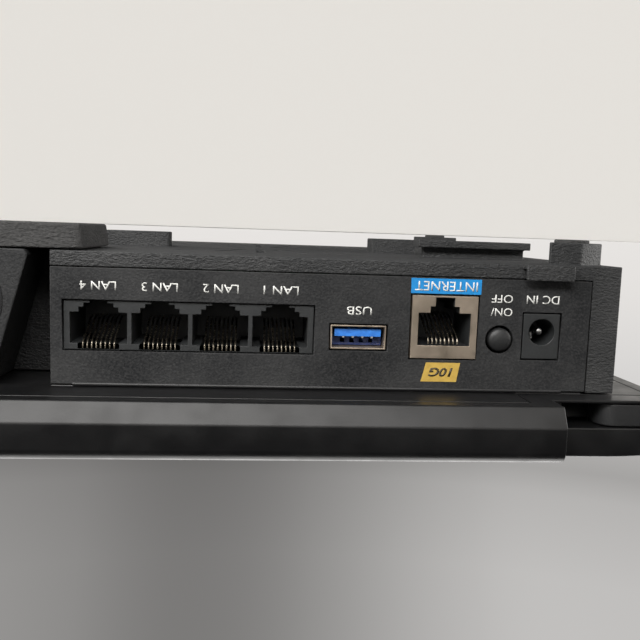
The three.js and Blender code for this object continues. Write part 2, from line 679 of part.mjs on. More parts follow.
function resetButton() {
  const back = PANEL_BACK - RESET_HEAD.behind;
  const head = rod('y', RESET_R, back, REAR - RESET_HEAD.sunk, resetPlace());
  return head.add(rod('y', RESET_R + PAST, back, back + RESET_HEAD.flange, resetPlace()));
}

function resetSwitch() {
  const [x, z] = resetPlace();
  const { half, back } = RESET_SWITCH;
  const front = PANEL_BACK - RESET_HEAD.behind - RESET_TRAVEL - CLEAR;
  return box(x - half, x + half, PANEL_BACK - back, front, ON_BOARD, z + half);
}

// ---- electronics ----
function mainBoard() {
  const x = CASE_W / 2 - CASE_WALL - BOARD_INSET;
  const front = -REAR + CASE_WALL + BOARD_INSET;
  const rear = PANEL_BACK - PAST;
  const notchX = NOTCH_W / 2 + CASE_WALL + PAST;
  const notchY = NOTCH_BACK - CASE_WALL - PAST;
  const right = [[x, front], [x, rear], [notchX, rear], [notchX, notchY]];
  const left = right.map(([px, py]) => [-px, py]).reverse();
  return raised([...right, ...left], Z_BOARD, BOARD_TOP);
}

function processor() {
  return box(...CHIP.x, ...CHIP.y, ON_BOARD, ON_BOARD + CHIP.h);
}

function heatsink() {
  const { half, y, base, height, fins, fin, edge } = HEATSINK;
  const z = ON_BOARD + CHIP.h + CLEAR;
  const pieces = [box(-half, half, ...y, z, z + base)];
  for (let i = 0; i < fins; i++) {
    const x = (half - edge) * (2 * i / (fins - 1) - 1);
    pieces.push(box(x - fin / 2, x + fin / 2, ...y, z + base - OVERLAP, z + height));
  }
  return joined(pieces);
}

function shieldCan(side) {
  const { x, y, w, d, h, lip } = SHIELD;
  const levels = [
    { w, d, r: 1, z: ON_BOARD }, { w, d, r: 1, z: ON_BOARD + h - lip },
    { w: w - 2 * lip, d: d - 2 * lip, r: 1, z: ON_BOARD + h },
  ];
  return stacked(levels, [side * x, y]);
}

function lightPipe() {
  const { half, z: [low, high], flange } = LIGHT;
  const inside = -REAR + CASE_WALL;
  const window = half - CLEAR;
  const bar = box(-window, window, -REAR, inside + PAST, low + CLEAR, high - CLEAR);
  const lip = flange / 2;
  const wing = window + flange;
  return bar.add(box(-wing, wing, inside + CLEAR, inside + 2, low - lip, high + lip));
}

// ---- antennas, about the hinge axis, blade towards -Y ----
function bladeShell(root, sign) {
  const outer = BLADE_T / 2;
  const inner = BLADE_SPLIT;
  const depth = BLADE_REACH - root;
  const level = (inset, z) => ({
    w: BLADE_W - 2 * inset, d: depth - 2 * inset, r: Math.max(BLADE_CORNER_R - inset, 0.5), z: sign * z,
  });
  const levels = [
    level(1.8, outer), level(0.8, outer - 0.35), level(0.2, outer - 1.1), level(0, outer - 2),
    level(0, inner), level(BLADE_WALL, inner), level(BLADE_WALL, outer - BLADE_WALL),
  ];
  const upward = sign < 0 ? levels : levels.map((ring) => ({ ...ring, z: -ring.z }));
  return stacked(upward, [0, -(root + BLADE_REACH) / 2]);
}

function earPair() {
  const outer = BLADE_T / 2;
  const inner = LUG_W / 2 + CLEAR;
  return [[inner, BLADE_W / 2], [-BLADE_W / 2, -inner]].map(([x0, x1]) => {
    const ear = rod('x', outer, x0, x1, [0, 0], 24).add(box(x0, x1, -EAR_BACK, 0, -outer, outer));
    return ear.subtract(rod('x', PIN_R + CLEAR, x0 - PAST, x1 + PAST, [0, 0], 16));
  });
}

function bladeLower() {
  const half = BLADE_W / 2 - 1;
  const web = box(-half, half, -EAR_BACK - PAST, -BLADE_ROOT, -BLADE_T / 2 + OVERLAP, -BLADE_SPLIT);
  return joined([bladeShell(BLADE_ROOT, -1), ...earPair(), web]);
}

function bladeUpper() {
  return bladeShell(EAR_BACK + CLEAR, 1).rotate([0, 180, 0]);
}

function bladeElement() {
  return raised(roundRect(ELEMENT.w, ELEMENT.l, 2, [0, ELEMENT.y]), -ELEMENT.t / 2, ELEMENT.t / 2);
}

function hingeBase() {
  const half = LUG_W / 2;
  const low = Z_LID + SLOT_FLOOR + CLEAR - Z_HINGE;
  const y = [BLADE_T / 2 + POCKET_END + OVERLAP, HINGE_BACK - STEP_BACK - LUG_GAP];
  const centre = [0, (y[0] + y[1]) / 2];
  const plate = raised(roundRect(HINGE_BASE_W, y[1] - y[0], 4, centre), low, -HINGE_TOP);
  const barrelR = BLADE_T / 2 - LUG_GAP;
  const tongue = box(-half, half, 0, y[0] + 3, -barrelR, -HINGE_TOP);
  const bore = rod('x', PIN_R + CLEAR, -half - PAST, half + PAST, [0, 0], 16);
  return joined([plate, tongue, rod('x', barrelR, -half, half, [0, 0], 24)]).subtract(bore);
}

function hingePin() {
  const half = BLADE_W / 2 - LUG_GAP;
  return rod('x', PIN_R, -half, half, [0, 0], 16);
}

function antenna(name, station) {
  const group = new THREE.Group();
  group.position.set(...station.at, Z_HINGE);
  group.rotation.z = THREE.MathUtils.degToRad(station.turn);
  group.add(
    named(`antenna_base_${name}`, hingeBase(), BLACK),
    named(`antenna_pin_${name}`, hingePin(), STEEL),
    named(`antenna_back_${name}`, bladeLower(), BLACK),
    named(`antenna_cover_${name}`, bladeUpper(), GREY),
    named(`antenna_element_${name}`, bladeElement(), GREEN),
  );
  return group;
}

// ---- assembly ----
const router = new THREE.Group();
router.add(
  named('lower_case', lowerCase(), CHARCOAL),
  named('top_cover', topCover(), BLACK),
  named('lid_base', lidBase(), BLACK),
  named('io_panel', ioPanel(), CHARCOAL),
  named('vent_panel', ventPanel(), CHARCOAL),
  named('centre_block', centreBlock(), CHARCOAL),
  named('centre_cap', centreCap(), BLACK),
  named('foot_centre', centreFoot(), RUBBER),
  named('foot_pad_rear_right', footPad(1, 1), RUBBER),
  named('foot_pad_rear_left', footPad(-1, 1), RUBBER),
  named('foot_pad_front_right', footPad(1, -1), RUBBER),
  named('foot_pad_front_left', footPad(-1, -1), RUBBER),
  named('main_board', mainBoard(), GREEN),
  named('processor', processor(), BLACK),
  named('heatsink', heatsink(), ALUMINIUM),
  named('shield_can_left', shieldCan(-1), ALUMINIUM),
  named('shield_can_right', shieldCan(1), ALUMINIUM),
  named('lan_housing', lanHousing(), BLACK),
  named('wan_shell', wanShell(), STEEL),
  named('wan_insert', wanInsert(), BLACK),
  named('wan_contacts', wanContacts(), GOLD),
  named('usb_shell', usbShell(), STEEL),
  named('usb_tongue', usbTongue(), BLUE),
  named('usb_riser', usbRiser(), BLACK),
  named('dc_jack', dcJack(), BLACK),
  named('dc_pin', dcPin(), STEEL),
  named('power_switch', switchBody(), BLACK),
  named('power_button', powerButton(), BLACK),
  named('reset_switch', resetSwitch(), BLACK),
  named('reset_button', resetButton(), GREY),
  named('light_pipe', lightPipe(), CLEAR_PLASTIC),
  named('label_internet', window(INTERNET_LABEL.size, INTERNET_LABEL.at, 0, ...LABEL_Y), BLUE),
  named('label_speed', speedLabel(0, ...LABEL_Y), OCHRE),
);
for (let i = 0; i < PORT_COUNT; i++) {
  router.add(named(`lan_contacts_${PORT_COUNT - i}`, lanContacts(i), GOLD));
}
for (const [name, station] of Object.entries(STATIONS)) router.add(antenna(name, station));

export default router;
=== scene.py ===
"""Wireless router: fine surface pieces, printed legends, materials, lights and camera.

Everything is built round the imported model, in metres, with the router standing on its feet
and its sockets facing +Y.
"""
import json
import math

import bmesh
import bpy
from mathutils import Matrix, Vector


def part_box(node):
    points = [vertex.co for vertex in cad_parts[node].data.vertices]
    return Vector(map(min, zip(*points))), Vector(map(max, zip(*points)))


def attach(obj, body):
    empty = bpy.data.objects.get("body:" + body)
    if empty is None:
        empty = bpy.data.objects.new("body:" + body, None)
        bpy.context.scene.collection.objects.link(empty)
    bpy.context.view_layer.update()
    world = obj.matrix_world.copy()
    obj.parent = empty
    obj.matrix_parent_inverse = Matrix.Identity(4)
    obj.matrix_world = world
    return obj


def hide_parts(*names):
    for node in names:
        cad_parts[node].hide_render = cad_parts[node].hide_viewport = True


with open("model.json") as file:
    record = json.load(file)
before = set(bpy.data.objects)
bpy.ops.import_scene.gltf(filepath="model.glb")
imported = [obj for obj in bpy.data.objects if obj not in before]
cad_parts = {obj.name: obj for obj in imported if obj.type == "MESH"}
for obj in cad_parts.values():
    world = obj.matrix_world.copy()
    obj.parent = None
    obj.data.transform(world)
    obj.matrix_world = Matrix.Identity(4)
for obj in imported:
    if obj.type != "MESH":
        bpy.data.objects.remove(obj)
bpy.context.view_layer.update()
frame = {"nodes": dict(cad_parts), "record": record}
nodes = frame["nodes"]
ROOT = "router"

# ---------------------------------------------------------------- sizes and places
MM = 0.001
MICRON = 0.001 * MM
PANEL_LOW, PANEL_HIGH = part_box("io_panel")
PANEL_Z = PANEL_LOW[2]
FACE_Y = PANEL_HIGH[1]
WELD = 2 * MICRON
PLATE_EDGE = 0.16 * MM
FINE_EDGE = 0.12 * MM

# The recesses beside the centre block, whose walls get painted shade, near black
POCKET_HALF = 23 * MM
POCKET_DEPTH = 20 * MM
POCKET_RIM = 1.2 * MM

# Openings of the socket panel
SOCKET_GAP = 0.35 * MM
BUTTON_GAP = 0.6 * MM
JACK_FACE = 11 * MM

# The ganged network sockets. A port's step is its half width and the height over LAN_LOW where it
# starts, in mm.
LAN_NUMBERS = (1, 2, 3, 4)
LAN_WIDTH = 58.1 * MM
LAN_HEIGHT = 11.9 * MM
LAN_LOW = PANEL_Z + 7.35 * MM
LAN_SET_BACK = 0.7 * MM
LAN_FACE_GAP = 0.3 * MM
LAN_FACE_THICKNESS = 0.9 * MM
LAN_FACE_PROUD = 0.03 * MM
PORT_STEPS = [(2.0, 0.0), (3.35, 0.85), (4.45, 1.8), (6.5, 2.95), (4.6, 10.2)]
PORT_TOP = 11.4
NOSE_Y = FACE_Y - LAN_SET_BACK

# A network contact's path: how far it is in front of the mouth and over the contacts' level, in mm
CONTACT_COUNT = 8
CONTACT_PITCH = 1.02 * MM
CONTACT_RADIUS = 0.22 * MM
CONTACT_PATH = [(-0.1, 1.5), (-0.2, 0.6), (-1.0, -0.25), (-5.0, -2.0), (-9.0, -4.3), (-13.5, -4.9)]
LAN_CONTACT_RISE = 9.8 * MM
WAN_CONTACT_RISE = 10.2 * MM
WAN_MOUTH = 0.6 * MM

# The grille panel's air slots, counted from its inner end
SLOT_COUNT = 17
SLOT_FIRST = 18 * MM
SLOT_PITCH = 5 * MM
SLOT_WIDTH = 2.2 * MM
SLOT_BELOW = 5.05 * MM
SLOT_ABOVE = 6 * MM
RESET_HOLE = 1.9 * MM

# The USB socket's carrier and pads: heights are over the socket's middle, depths behind the face
USB_CONTACTS = 4
USB_PITCH = 2.3 * MM
CARRIER_HALF = 6.0 * MM
CARRIER_LOW = -0.05 * MM
CARRIER_HIGH = 2.3 * MM
CARRIER_DEPTH = 3.4 * MM
CARRIER_THICKNESS = 1.2 * MM
CARRIER_SLOT_HALF = 0.5 * MM
CARRIER_SLOT_LOW = 0.5 * MM
CARRIER_SLOT_HIGH = 1.7 * MM
PAD_RADIUS = 0.3 * MM
PAD_ENDS = [(1.5 * MM, 0.02 * MM), (3.3 * MM, 0.3 * MM)]

# The power jack's side spring. Its path is the distance from the pin and the depth behind the face, in mm.
SPRING_STRANDS = 3
SPRING_RADIUS = 0.26 * MM
SPRING_LEAN = 0.12 * MM
SPRING_RISE = 0.5 * MM
SPRING_PATH = [(-2.15, 2.0), (-1.75, 3.2), (-2.1, 5.5)]

# The bead along the socket panel's upper edge
BEAD_RADIUS = 0.5 * MM
BEAD_RISE = 0.05 * MM
BEAD_DEPTH = 0.35 * MM
BEAD_START = 5 * MM
BEAD_END = 6 * MM

# Legends on the socket panel. Each has its words, the node it belongs to, and in mm its shift across,
# its height over the panel's low edge, its width and its letters' height. LETTER_WELD is a share of an em.
INK_THICKNESS = 40 * MICRON
LETTER_WELD = 0.00001
LAN_LEGEND_RISE = 4.1 * MM
LAN_LEGEND_SIZE = (8.2 * MM, 2.05 * MM)
LEGENDS = {
    "legend_usb": ("USB", "usb_shell", 0.0, 8.4, 6.0, 2.0),
    "legend_on": ("ON/", "power_button", 0.2, 7.9, 5.3, 1.95),
    "legend_off": ("OFF", "power_button", 0.2, 4.7, 5.2, 1.95),
    "legend_power": ("DC IN", "dc_jack", -0.1, 4.7, 8.1, 2.05),
}
INTERNET_LEGEND_SIZE = (15.2 * MM, 2.25 * MM)
SPEED_LEGEND_SIZE = (6.0 * MM, 2.2 * MM)


def middle_of(node):
    low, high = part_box(node)
    return [(a + b) / 2 for a, b in zip(low, high)]


def lan_centre():
    """The middle of the ganged sockets, from the outer two contact sets."""
    ends = [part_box(f"lan_contacts_{number}") for number in (LAN_NUMBERS[0], LAN_NUMBERS[-1])]
    return sum(low[0] + high[0] for low, high in ends) / 4


# ---------------------------------------------------------------- colours and node helpers
def linear(r, g, b):
    """A display colour, 0 to 255 a channel, as scene-linear."""
    def one(c):
        c /= 255
        return c / 12.92 if c <= 0.04045 else ((c + 0.055) / 1.055) ** 2.4
    return (one(r), one(g), one(b), 1.0)


def grey(level, warm):
    """A grey whose green and blue fall off by one and two steps of warm."""
    return linear(level, level - warm, level - 2 * warm)


class Graph:
    """Short calls for building a material's nodes."""

    def __init__(self, name):
        self.material = bpy.data.materials.new(name)
        self.material.use_nodes = True
        self.tree = self.material.node_tree
        self.shader = self.tree.nodes["Principled BSDF"]
        coordinates = self.tree.nodes.new("ShaderNodeTexCoord")
        self.place = coordinates.outputs["Object"]

    def add(self, kind, inputs=None, **settings):
        node = self.tree.nodes.new("ShaderNode" + kind)
        for key, value in settings.items():
            setattr(node, key, value)
        for key, value in (inputs or {}).items():
            self.feed(node.inputs[key], value)
        return node

    def feed(self, socket, value):
        if isinstance(value, bpy.types.NodeSocket):
            self.tree.links.new(value, socket)
        else:
            socket.default_value = value

    def stretched(self, scale):
        return self.add("Mapping", {"Vector": self.place, "Scale": scale}).outputs[0]

    def noise(self, scale, detail=3.0, rough=0.55, vector=None, distortion=0.0):
        node = self.add("TexNoise", {
            "Vector": vector or self.place, "Scale": scale, "Detail": detail,
            "Roughness": rough, "Distortion": distortion,
        })
        return node.outputs[0]

    def cells(self, scale):
        return self.add("TexVoronoi", {"Vector": self.place, "Scale": scale}).outputs["Distance"]

    def spread(self, value, low, high, start=0.0, end=1.0):
        """Low to high, as the value goes from start to end."""
        node = self.add("MapRange", {
            "Value": value, "From Min": start, "From Max": end, "To Min": low, "To Max": high,
        })
        return node.outputs[0]

    def maths(self, operation, a, b):
        node = self.add("Math", operation=operation)
        self.feed(node.inputs[0], a)
        self.feed(node.inputs[1], b)
        return node.outputs[0]

    def mixed(self, factor, a, b):
        node = self.add("Mix", data_type="RGBA")
        self.feed(node.inputs["Factor"], factor)
        self.feed(node.inputs["A"], a)
        self.feed(node.inputs["B"], b)
        return node.outputs["Result"]

    def tinted(self, value, limits, most, a, b):
        """Colour a, with up to a share of most of b as the value goes from one limit to the other."""
        return self.mixed(self.spread(value, 0.0, most, *limits), a, b)

    def uneven(self, value, roughness, below, above):
        """A roughness that goes below and above its level with a noise's value."""
        return self.spread(value, roughness - below, roughness + above, *NOISE_MIDDLE)

    def bump(self, height, depth, under=None):
        inputs = {"Height": height, "Distance": depth}
        if under is not None:
            inputs["Normal"] = under
        return self.add("Bump", inputs).outputs[0]

    def shade(self, **inputs):
        for key, value in inputs.items():
            self.feed(self.shader.inputs[key.replace("_", " ")], value)


# ---------------------------------------------------------------- materials
# Pattern scales are a texture's own, per metre. A speck's scale and height are shares of the grain's.
NOISE_MIDDLE = (0.3, 0.7)
BLOTCH_SCALE = 60
SHEEN_SCALE = 140
SPECK_SCALE = 0.9
SPECK_HEIGHT = 0.5
# Painted shade: the near-black colour given to the recesses beside the centre block
POCKET_PAINTED_SHADE = linear(7, 7, 8)
BRUSH_SCALE = 6
STAIN_SCALE = 120
MOTTLE_SCALE = 700
TOOTH_SCALE = 2600
TRACE_SCALE = 160.0
TRACE_GAP = 0.03
DOT_SCALE = 420
LACQUER_SCALE = 300
HAZE_SCALE = 1500


def inside(g, half_width, back_y, front_y):
    """1 within half_width of the middle and between two Y planes, 0 elsewhere."""
    x, y, _ = g.add("SeparateXYZ", {"Vector": g.place}).outputs
    near = g.maths("LESS_THAN", g.maths("ABSOLUTE", x, 0.0), half_width)
    between = g.maths("MULTIPLY", g.maths("GREATER_THAN", y, back_y), g.maths("LESS_THAN", y, front_y))
    return g.maths("MULTIPLY", near, between)


def moulded(name, colour, lighter, roughness, grain=1900, depth=60 * MICRON, coarse=None, specular=0.5,
            painted_shade=None):
    """Moulded plastic: spark-eroded grain, faint blotches, and paler worn edges.

    coarse is a wrinkle's scale, depth and stretch. The last argument is the half width and the two Y planes
    of a recess whose colour is painted near black, as painted shade.
    """
    g = Graph(name)
    fine = g.noise(grain, detail=2.5, rough=0.6)
    blotch = g.noise(BLOTCH_SCALE, detail=4)
    speck = g.cells(grain * SPECK_SCALE)
    edge = g.add("NewGeometry").outputs["Pointiness"]
    tone = g.tinted(blotch, (0.35, 0.65), 0.35, colour, lighter)
    tone = g.tinted(edge, (0.53, 0.62), 0.35, tone, lighter)
    tone = g.tinted(fine, (0.42, 0.66), 0.3, tone, lighter)
    normal = g.bump(g.maths("ADD", fine, g.maths("MULTIPLY", speck, SPECK_HEIGHT)), depth)
    if coarse:
        scale, coarse_depth, stretch = coarse
        wave = g.noise(scale, detail=2, vector=g.stretched(stretch), distortion=0.6)
        normal = g.bump(wave, coarse_depth, under=normal)
    # Painted shade: within the recess the plastic's colour is swapped for near black
    if painted_shade:
        tone = g.mixed(inside(g, *painted_shade), tone, POCKET_PAINTED_SHADE)
    rough = g.uneven(g.noise(SHEEN_SCALE, detail=2), roughness, 0.05, 0.07)
    g.shade(Base_Color=tone, Roughness=rough, Normal=normal, Specular_IOR_Level=specular)
    return g.material


def metal(name, colour, darker, roughness, brush=(60, 900, 60)):
    """Plated or drawn metal with faint brushing and stains. brush stretches the brush marks."""
    g = Graph(name)
    lines = g.noise(BRUSH_SCALE, detail=3, vector=g.stretched(brush))
    tone = g.tinted(g.noise(STAIN_SCALE, detail=4), (0.35, 0.7), 1.0, colour, darker)
    rough = g.uneven(lines, roughness, 0.06, 0.1)
    g.shade(Base_Color=tone, Metallic=1.0, Roughness=rough, Normal=g.bump(lines, 10 * MICRON))
    return g.material


def printed(name, colour, darker, roughness=0.45):
    """Printed film or ink: slight mottling and a fine surface tooth."""
    g = Graph(name)
    mottle = g.noise(MOTTLE_SCALE, detail=3)
    tooth = g.noise(TOOTH_SCALE, detail=1)
    g.shade(Base_Color=g.tinted(mottle, (0.3, 0.75), 1.0, colour, darker),
            Roughness=g.uneven(mottle, roughness, 0.06, 0.08), Normal=g.bump(tooth, 10 * MICRON))
    return g.material


def circuit_board(name):
    """Green lacquer with pale traces and rows of plated dots."""
    g = Graph(name)
    bricks = g.add("TexBrick", {"Vector": g.place, "Scale": TRACE_SCALE, "Mortar Size": TRACE_GAP})
    traces = bricks.outputs["Fac"]
    lacquer = g.mixed(traces, linear(20, 62, 42), linear(38, 92, 62))
    dots = g.spread(g.cells(DOT_SCALE), 1, 0, 0.08, 0.12)
    g.shade(Base_Color=g.mixed(dots, lacquer, linear(190, 165, 90)),
            Roughness=g.spread(g.noise(LACQUER_SCALE), 0.28, 0.4), Normal=g.bump(traces, 40 * MICRON))
    return g.material


def frosted(name):
    """Frosted clear plastic of a light pipe."""
    g = Graph(name)
    haze = g.noise(HAZE_SCALE, detail=2)
    g.shade(Base_Color=g.mixed(haze, linear(200, 210, 216), linear(228, 234, 238)),
            Roughness=g.spread(haze, 0.25, 0.45), Transmission_Weight=0.35,
            Normal=g.bump(haze, 20 * MICRON))
    return g.material


CASE = moulded("case_grain", linear(18, 19, 21), linear(66, 66, 66), 0.64, depth=100 * MICRON,
               specular=0.26)
# Its recesses beside the centre block get painted shade, near black
STRIP = moulded("case_coarse_grain", linear(30, 31, 32), linear(62, 62, 62), 0.6,
                coarse=(1250, 340 * MICRON, (0.7, 1, 1.5)), specular=0.4,
                painted_shade=(POCKET_HALF, FACE_Y - POCKET_DEPTH, FACE_Y - POCKET_RIM))
LID = moulded("lid_satin", linear(10, 10, 11), linear(16, 16, 17), 0.36, grain=2600, depth=10 * MICRON)
BLACK = moulded("black_plastic", linear(16, 16, 17), linear(28, 28, 29), 0.42, grain=2600,
                depth=20 * MICRON)
SOCKET = moulded("socket_plastic", linear(28, 30, 31), linear(46, 47, 48), 0.5, grain=2300,
                 depth=30 * MICRON)
BUTTON = moulded("button_plastic", linear(20, 21, 22), linear(38, 38, 39), 0.5, grain=2300,
                 depth=30 * MICRON)
RUBBER = moulded("foot_rubber", linear(44, 44, 44), linear(86, 85, 84), 0.8, grain=1500,
                 coarse=(950, 500 * MICRON, (0.6, 1, 1.5)), specular=0.3)
ANTENNA_BLACK = moulded("antenna_black", linear(22, 23, 24), linear(38, 38, 39), 0.45, grain=2400,
                        depth=30 * MICRON)
ANTENNA_GREY = moulded("antenna_grey", linear(46, 47, 50), linear(66, 66, 68), 0.5, grain=2200,
                       depth=40 * MICRON)
NICKEL = metal("nickel_plate", linear(198, 183, 166), linear(170, 157, 141), 0.42)
BRIGHT = metal("bright_plate", linear(214, 214, 212), linear(168, 168, 166), 0.24)
GOLD = metal("contact_gold", linear(226, 216, 198), linear(136, 126, 110), 0.22)
ALUMINIUM = metal("extruded_aluminium", linear(168, 170, 172), linear(132, 134, 136), 0.4,
                  brush=(900, 30, 900))
BLUE = printed("label_blue", linear(27, 135, 201), linear(20, 118, 182))
OCHRE = printed("label_gold", linear(184, 153, 74), linear(164, 134, 60))
USB_BLUE = printed("usb_blue", linear(58, 128, 214), linear(36, 96, 176), 0.4)
USB_DEEP = printed("usb_deep_blue", linear(30, 48, 100), linear(18, 32, 70), 0.4)
INK = printed("legend_ink", linear(216, 216, 212), linear(190, 190, 186), 0.55)
DARK_INK = printed("legend_dark_ink", linear(62, 52, 30), linear(48, 40, 24), 0.55)
BOARD = circuit_board("circuit_board")
PIPE = frosted("frosted_pipe")

SLOT_FINISH = {
    "case_plastic": CASE, "lid_plastic": LID, "black_plastic": BLACK, "rubber": RUBBER,
    "circuit_board": BOARD, "aluminium": ALUMINIUM, "shield_metal": BRIGHT, "socket_plastic": SOCKET,
    "socket_metal": NICKEL, "contact_metal": GOLD, "contact_silver": BRIGHT, "usb_blue": USB_BLUE,
    "button_plastic": BUTTON, "light_pipe": PIPE, "label_blue": BLUE, "label_gold": OCHRE,
    "antenna_black": ANTENNA_BLACK, "antenna_grey": ANTENNA_GREY,
}

# ---------------------------------------------------------------- CAD nodes: finish and softened edges
# Edge widths in mm, by the start of a node's name
EDGE_WIDTH = {
    "lower_case": 0.35, "centre_block": 0.4, "centre_cap": 0.3, "top_cover": 0.4, "lid_base": 0.2,
    "foot_centre": 0.6, "foot_pad": 0.35, "wan_shell": 0.1, "wan_insert": 0.08, "wan_contacts": 0.05,
    "lan_contacts": 0.05, "usb_shell": 0.08, "usb_tongue": 0.12, "dc_jack": 0.18, "dc_pin": 0.12,
    "power_button": 0.15, "reset_button": 0.15, "light_pipe": 0.15, "heatsink": 0.15,
    "shield_can": 0.2, "main_board": 0.1, "antenna_back": 0.3, "antenna_cover": 0.3,
    "antenna_base": 0.3,
}
EDGE_ANGLE = {"top_cover": 26}
USUAL_ANGLE = 32


def dress(mesh, material):
    """Gives a mesh one material."""
    mesh.materials.clear()
    mesh.materials.append(material)


def soften(node, width, angle):
    """Rounds the edges of a CAD node that are sharper than the angle, and keeps its flat faces flat."""
    for polygon in node.data.polygons:
        polygon.use_smooth = True
    weld = node.modifiers.new("weld", "WELD")
    weld.merge_threshold = WELD
    bevel = node.modifiers.new("edge", "BEVEL")
    bevel.width = width
    bevel.segments = 2
    bevel.limit_method = "ANGLE"
    bevel.angle_limit = math.radians(angle)
    bevel.use_clamp_overlap = False
    even = node.modifiers.new("even", "WEIGHTED_NORMAL")
    even.weight = 100
    even.keep_sharp = False


for part in frame["record"]["subparts"]:
    dress(nodes[part["node"]].data, SLOT_FINISH[part["material_slot"]])
dress(nodes["lower_case"].data, STRIP)

for node_name, node in nodes.items():
    edge_width = next((EDGE_WIDTH[start] for start in EDGE_WIDTH if node_name.startswith(start)), None)
    if edge_width:
        soften(node, edge_width * MM, EDGE_ANGLE.get(node_name, USUAL_ANGLE))


# ---------------------------------------------------------------- making pieces
def mesh_of(curve):
    """The mesh that a curve or a text makes."""
    shape = bpy.data.objects.new(curve.name + "_curve", curve)
    bpy.context.collection.objects.link(shape)
    bpy.context.view_layer.update()
    mesh = bpy.data.meshes.new_from_object(shape.evaluated_get(bpy.context.evaluated_depsgraph_get()))
    bpy.data.objects.remove(shape)
    return mesh


def piece_of(name, mesh, material, stands_for=()):
    """A piece that rides on the router's body, in place of the CAD nodes that it stands for."""
    dress(mesh, material)
    obj = bpy.data.objects.new(name, mesh)
    bpy.context.collection.objects.link(obj)
    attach(obj, ROOT)
    if stands_for:
        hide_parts(*stands_for)


def plate(name, outline, holes, back_y, front_y, edge, material, stands_for=()):
    """A flat plate facing +Y with rounded outer and inner edges, from an outline and its holes."""
    curve = bpy.data.curves.new(name, "CURVE")
    curve.dimensions = "2D"
    curve.fill_mode = "BOTH"
    for points in [outline, *(hole[::-1] for hole in holes)]:
        spline = curve.splines.new("POLY")
        spline.points.add(len(points) - 1)
        for target, (x, z) in zip(spline.points, points):
            target.co = (x, z, 0, 1)
        spline.use_cyclic_u = True
    curve.extrude = (front_y - back_y) / 2 - edge
    curve.bevel_depth = edge
    curve.bevel_resolution = 2
    curve.offset = -edge
    mesh = mesh_of(curve)
    # The curve's own Y becomes the height, and its thickness lies along -Y.
    mesh.transform(Matrix(((1, 0, 0, 0), (0, 0, -1, (back_y + front_y) / 2), (0, 1, 0, 0), (0, 0, 0, 1))))
    bm = bmesh.new()
    bm.from_mesh(mesh)
    bmesh.ops.remove_doubles(bm, verts=bm.verts, dist=WELD)
    bmesh.ops.recalc_face_normals(bm, faces=bm.faces)
    bm.to_mesh(mesh)
    bm.free()
    piece_of(name, mesh, material, stands_for)


def wire_mesh(paths, radius):
    """Round wires along lists of points, as one mesh."""
    curve = bpy.data.curves.new("wires", "CURVE")
    curve.dimensions = "3D"
    curve.bevel_depth = radius
    curve.bevel_resolution = 2
    curve.use_fill_caps = True
    for path in paths:
        spline = curve.splines.new("BEZIER")
        spline.bezier_points.add(len(path) - 1)
        for point, place in zip(spline.bezier_points, path):
            point.co = place
            point.handle_left_type = point.handle_right_type = "AUTO"
        spline.resolution_u = 5
    mesh = mesh_of(curve)
    for polygon in mesh.polygons:
        polygon.use_smooth = True
    return mesh


# ---------------------------------------------------------------- rear panels and the ganged sockets' face
def rectangle(x0, x1, z0, z1):
    return [(x0, z0), (x1, z0), (x1, z1), (x0, z1)]


def round_hole(x, z, radius, sides=48):
    turns = [2 * math.pi * i / sides for i in range(sides)]
    return [(x + radius * math.cos(t), z + radius * math.sin(t)) for t in turns]


def outline_of(node, gap=0.0):
    """A node's rear face as a rectangle, with a gap all round it."""
    low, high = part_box(node)
    return rectangle(low[0] - gap, high[0] + gap, low[2] - gap, high[2] + gap)


def panel_holes():
    """The openings of the socket panel, each from the piece that shows in it."""
    middle = lan_centre()
    lan = rectangle(middle - LAN_WIDTH / 2, middle + LAN_WIDTH / 2, LAN_LOW, LAN_LOW + LAN_HEIGHT)
    jack_low, jack_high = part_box("dc_jack")
    jack = rectangle(jack_low[0] - SOCKET_GAP, jack_high[0] + SOCKET_GAP,
                     jack_high[2] - JACK_FACE - SOCKET_GAP, jack_high[2] + SOCKET_GAP)
    button_low, button_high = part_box("power_button")
    radius = (button_high[0] - button_low[0]) / 2 + BUTTON_GAP
    button_x, _, button_z = middle_of("power_button")
    return [lan, outline_of("usb_shell", SOCKET_GAP), outline_of("wan_shell", SOCKET_GAP), jack,
            round_hole(button_x, button_z, radius)]


def grille_holes():
    """The grille panel's row of air slots and the reset button's hole."""
    low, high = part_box("vent_panel")
    holes = []
    for i in range(SLOT_COUNT):
        x = high[0] - SLOT_FIRST - SLOT_PITCH * i
        holes.append(rectangle(x - SLOT_WIDTH, x, low[2] + SLOT_BELOW, high[2] - SLOT_ABOVE))
    reset_x, _, reset_z = middle_of("reset_button")
    return holes + [round_hole(reset_x, reset_z, RESET_HOLE, 32)]


def port_side():
    """Half of a port's stepped outline, upwards, as pairs of half width and height."""
    side = []
    ends = [start for _, start in PORT_STEPS[1:]] + [PORT_TOP]
    for (reach, start), end in zip(PORT_STEPS, ends):
        foot = max(LAN_LOW + start * MM, LAN_LOW + LAN_FACE_GAP)
        side += [(reach * MM, foot), (reach * MM, LAN_LOW + end * MM)]
    return side


def lan_face_outline():
    """One comb-like outline round four stepped openings that break through the low edge."""
    middle = lan_centre()
    half = LAN_WIDTH / 2 - LAN_FACE_GAP
    low = LAN_LOW + LAN_FACE_GAP
    high = LAN_LOW + LAN_HEIGHT - LAN_FACE_GAP
    side = port_side()
    points = [(middle - half, low)]
    for number in reversed(LAN_NUMBERS):
        x = middle_of(f"lan_contacts_{number}")[0]
        points += [(x - reach, z) for reach, z in side]
        points += [(x + reach, z) for reach, z in reversed(side)]
    return points + [(middle + half, low), (middle + half, high), (middle - half, high)]


